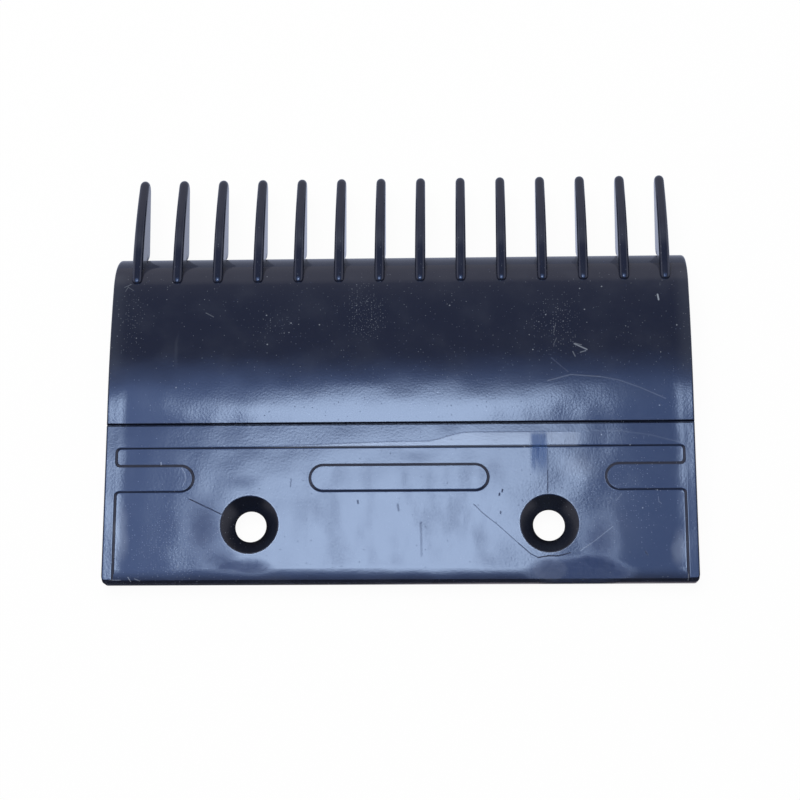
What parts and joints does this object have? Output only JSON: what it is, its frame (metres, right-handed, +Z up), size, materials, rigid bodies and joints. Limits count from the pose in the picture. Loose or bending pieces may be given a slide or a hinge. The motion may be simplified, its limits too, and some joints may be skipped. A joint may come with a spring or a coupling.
{
  "type": "escalator comb plate",
  "caption": "Moulded plastic comb plate for an escalator landing: sunk rear panel with countersunk screw holes, curved nose and a row of blade teeth that run in the step grooves.",
  "frame": {"origin": "under the middle of the plate's outline, at the level of the tooth bottoms", "axes": "+X across the plate along the row of teeth, +Y towards the tooth tips, +Z up out of the walked-on face"},
  "size_m": [0.1424, 0.1045, 0.0145],
  "materials": {
    "blue_black_plastic": "glossy injection-moulded plastic with a fine orange peel, light dust and hairline scratches"
  },
  "bodies": {
    "root": {"comb_plate": "blue_black_plastic"}
  },
  "joints": []
}
